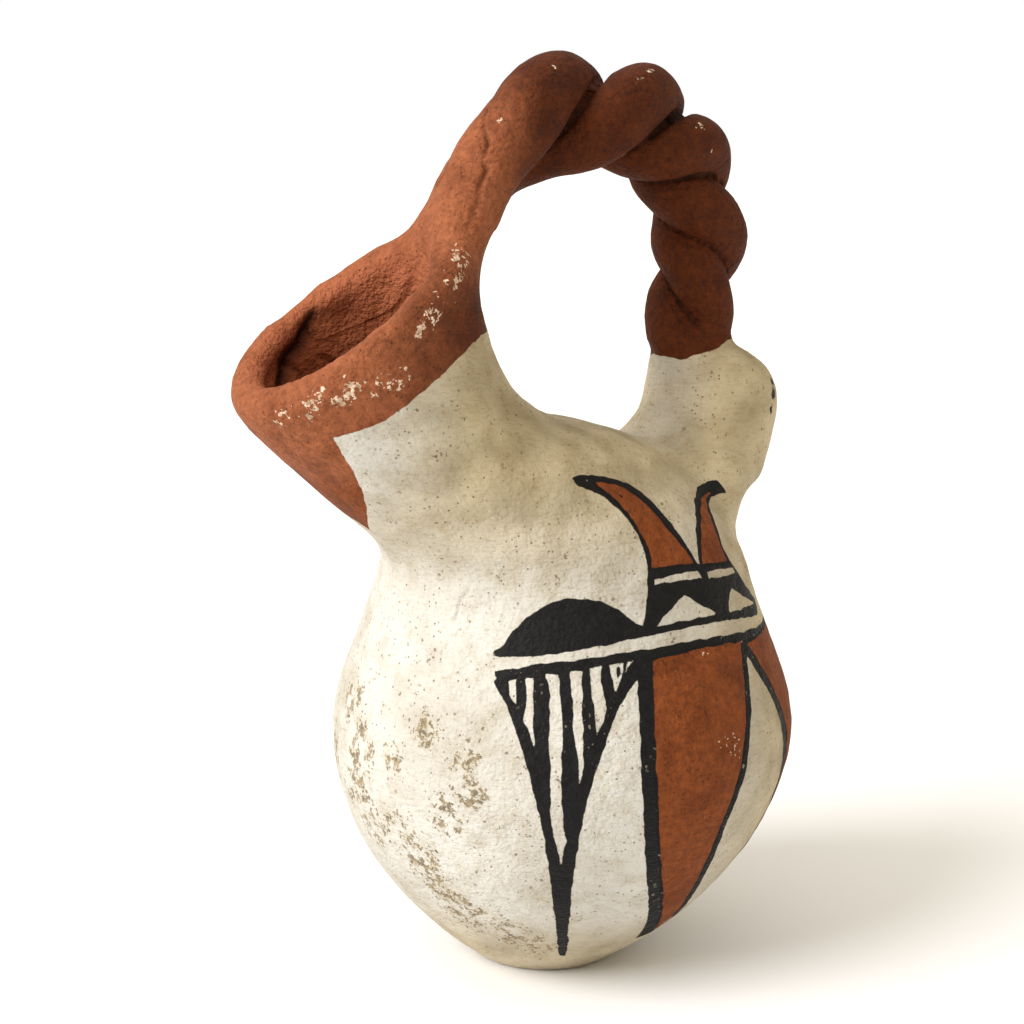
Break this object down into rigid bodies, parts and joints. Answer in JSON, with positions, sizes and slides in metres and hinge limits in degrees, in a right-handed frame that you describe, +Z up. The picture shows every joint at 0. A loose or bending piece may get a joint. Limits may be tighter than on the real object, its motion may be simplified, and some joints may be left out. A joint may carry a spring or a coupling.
{
  "type": "bird effigy pot",
  "caption": "Hand-built clay pitcher in the shape of a bird: round belly, wide open spout as the tail, small head, and a twisted rope handle over the back, painted in black and red on cream.",
  "frame": {"origin": "on the flat underside of the foot, straight below the middle of the belly", "axes": "+Z up, +X towards the bird's head, -X towards the spout; the plane Y = 0 cuts head, handle and spout in half"},
  "size_m": [0.1125, 0.0842, 0.1643],
  "materials": {
    "cream_slip": "matte, hand-polished slip with black and red-brown clay paint"
  },
  "bodies": {
    "root": {"pot": "cream_slip"}
  },
  "joints": []
}
